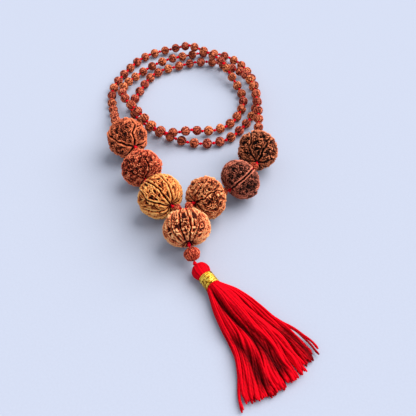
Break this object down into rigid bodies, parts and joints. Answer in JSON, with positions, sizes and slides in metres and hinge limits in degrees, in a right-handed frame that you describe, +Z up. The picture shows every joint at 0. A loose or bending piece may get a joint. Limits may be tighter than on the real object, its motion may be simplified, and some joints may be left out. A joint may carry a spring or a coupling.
{
  "type": "mala prayer beads",
  "caption": "Prayer bead strand of knotted small ridged seed beads, closed by large ridged beads with a pendant bead and a red tassel with a gold thread wrap.",
  "frame": {"origin": "centre of the whole layout's box, on the surface that the beads rest on", "axes": "+Z up from the surface, +Y from the tassel towards the coiled strand, +X to the right of someone facing +Y"},
  "size_m": [0.1327, 0.2952, 0.0301],
  "materials": {
    "small_rudraksha": "natural, ridged seed",
    "red_thread": "twisted cotton",
    "left_upper_bead": "natural, ridged seed",
    "left_middle_bead": "natural, ridged seed",
    "left_lower_bead": "natural, ridged seed",
    "guru_bead": "natural, ridged seed",
    "right_lower_bead": "natural, ridged seed",
    "right_middle_bead": "natural, ridged seed",
    "right_upper_bead": "natural, ridged seed",
    "spacer_rudraksha": "natural, ridged seed",
    "pendant_rudraksha": "natural, ridged seed",
    "tassel_yarn": "soft yarn",
    "gold_thread": "metallic thread"
  },
  "bodies": {
    "strand": {"small_beads_01": "small_rudraksha", "small_beads_02": "small_rudraksha", "small_beads_03": "small_rudraksha", "small_beads_04": "small_rudraksha", "small_beads_05": "small_rudraksha", "small_beads_06": "small_rudraksha", "small_beads_07": "small_rudraksha", "small_beads_08": "small_rudraksha", "small_beads_09": "small_rudraksha", "small_beads_10": "small_rudraksha", "small_beads_11": "small_rudraksha", "small_beads_12": "small_rudraksha", "strand_thread_first_turn": "red_thread", "strand_thread_second_turn": "red_thread", "strand_thread_third_turn": "red_thread"},
    "bib": {"left_thread": "red_thread", "right_thread": "red_thread", "guru_thread": "red_thread"},
    "left_upper_bead": {"left_upper_bead": "left_upper_bead"},
    "left_middle_bead": {"left_middle_bead": "left_middle_bead"},
    "left_lower_bead": {"left_lower_bead": "left_lower_bead"},
    "right_lower_bead": {"right_lower_bead": "right_lower_bead"},
    "right_middle_bead": {"right_middle_bead": "right_middle_bead"},
    "right_upper_bead": {"right_upper_bead": "right_upper_bead"},
    "guru_bead": {"guru_bead": "guru_bead"},
    "left_upper_spacer": {"left_upper_spacer": "spacer_rudraksha"},
    "left_middle_spacer": {"left_middle_spacer": "spacer_rudraksha"},
    "left_lower_spacer": {"left_lower_spacer": "spacer_rudraksha"},
    "right_lower_spacer": {"right_lower_spacer": "spacer_rudraksha"},
    "right_middle_spacer": {"right_middle_spacer": "spacer_rudraksha"},
    "right_upper_spacer": {"right_upper_spacer": "spacer_rudraksha"},
    "pendant_link": {"pendant_thread": "red_thread"},
    "pendant_bead": {"pendant_bead": "pendant_rudraksha"},
    "tassel_knot": {"tassel_knot": "tassel_yarn"},
    "tassel": {"tassel_head": "tassel_yarn", "tassel_wrap": "gold_thread", "tassel_skirt": "tassel_yarn"}
  },
  "joints": [
    {"name": "bib_lift", "type": "hinge", "parent": "strand", "child": "bib", "pos_m": [-0.05153, 0.03867, 0.0126], "axis": [-0.9945, 0.1037, -0.0106], "range_deg": [0, 30]},
    {"name": "left_upper_bead_spin", "type": "hinge", "parent": "bib", "child": "left_upper_bead", "pos_m": [-0.04484, 0.02776, 0.0146], "axis": [-0.5162, 0.8424, -0.1544], "continuous": true},
    {"name": "left_middle_bead_spin", "type": "hinge", "parent": "bib", "child": "left_middle_bead", "pos_m": [-0.03324, 0.00053, 0.01395], "axis": [-0.3238, 0.9405, 0.1029], "continuous": true},
    {"name": "left_lower_bead_spin", "type": "hinge", "parent": "bib", "child": "left_lower_bead", "pos_m": [-0.01992, -0.02448, 0.0154], "axis": [-0.6737, 0.7352, -0.0753], "continuous": true},
    {"name": "right_lower_bead_spin", "type": "hinge", "parent": "bib", "child": "right_lower_bead", "pos_m": [0.00775, -0.02518, 0.0146], "axis": [0.7244, 0.6297, -0.2804], "continuous": true},
    {"name": "right_middle_bead_spin", "type": "hinge", "parent": "bib", "child": "right_middle_bead", "pos_m": [0.02909, -0.00933, 0.01405], "axis": [0.6953, 0.6715, 0.2563], "continuous": true},
    {"name": "right_upper_bead_spin", "type": "hinge", "parent": "bib", "child": "right_upper_bead", "pos_m": [0.04117, 0.01601, 0.0145], "axis": [0.0956, 0.993, -0.0695], "continuous": true},
    {"name": "guru_bead_spin", "type": "hinge", "parent": "bib", "child": "guru_bead", "pos_m": [-0.0036, -0.0487, 0.0153], "axis": [0.1669, -0.9467, -0.2756], "continuous": true},
    {"name": "left_upper_spacer_spin", "type": "hinge", "parent": "bib", "child": "left_upper_spacer", "pos_m": [-0.03735, 0.01349, 0.0158], "axis": [-0.2274, 0.9474, 0.2254], "continuous": true},
    {"name": "left_middle_spacer_spin", "type": "hinge", "parent": "bib", "child": "left_middle_spacer", "pos_m": [-0.02896, -0.01238, 0.0137], "axis": [-0.2767, 0.9342, -0.2254], "continuous": true},
    {"name": "left_lower_spacer_spin", "type": "hinge", "parent": "bib", "child": "left_lower_spacer", "pos_m": [-0.00866, -0.03573, 0.01733], "axis": [-0.7688, 0.59, -0.2467], "continuous": true},
    {"name": "right_lower_spacer_spin", "type": "hinge", "parent": "bib", "child": "right_lower_spacer", "pos_m": [-0.00272, -0.03505, 0.01798], "axis": [0.6533, 0.7516, -0.091], "continuous": true},
    {"name": "right_middle_spacer_spin", "type": "hinge", "parent": "bib", "child": "right_middle_spacer", "pos_m": [0.01884, -0.01723, 0.01155], "axis": [0.9396, 0.342, -0.0141], "continuous": true},
    {"name": "right_upper_spacer_spin", "type": "hinge", "parent": "bib", "child": "right_upper_spacer", "pos_m": [0.03797, 0.00025, 0.016], "axis": [0.5511, 0.8171, -0.169], "continuous": true},
    {"name": "pendant_swing", "type": "hinge", "parent": "bib", "child": "pendant_link", "pos_m": [-0.00186, -0.05859, 0.01242], "axis": [0, 0, 1], "range_deg": [-10, 10]},
    {"name": "pendant_bead_spin", "type": "hinge", "parent": "pendant_link", "child": "pendant_bead", "pos_m": [-0.00026, -0.06255, 0.0089], "axis": [0.2891, -0.7154, -0.6361], "continuous": true},
    {"name": "tassel_swing", "type": "hinge", "parent": "pendant_link", "child": "tassel_knot", "pos_m": [0.00134, -0.0665, 0.00539], "axis": [0, 0, 1], "range_deg": [-20, 20]},
    {"name": "tassel_lift", "type": "hinge", "parent": "tassel_knot", "child": "tassel", "pos_m": [0.00134, -0.0665, 0.00539], "axis": [-0.8241, -0.5664, 0], "range_deg": [0, 20]}
  ]
}
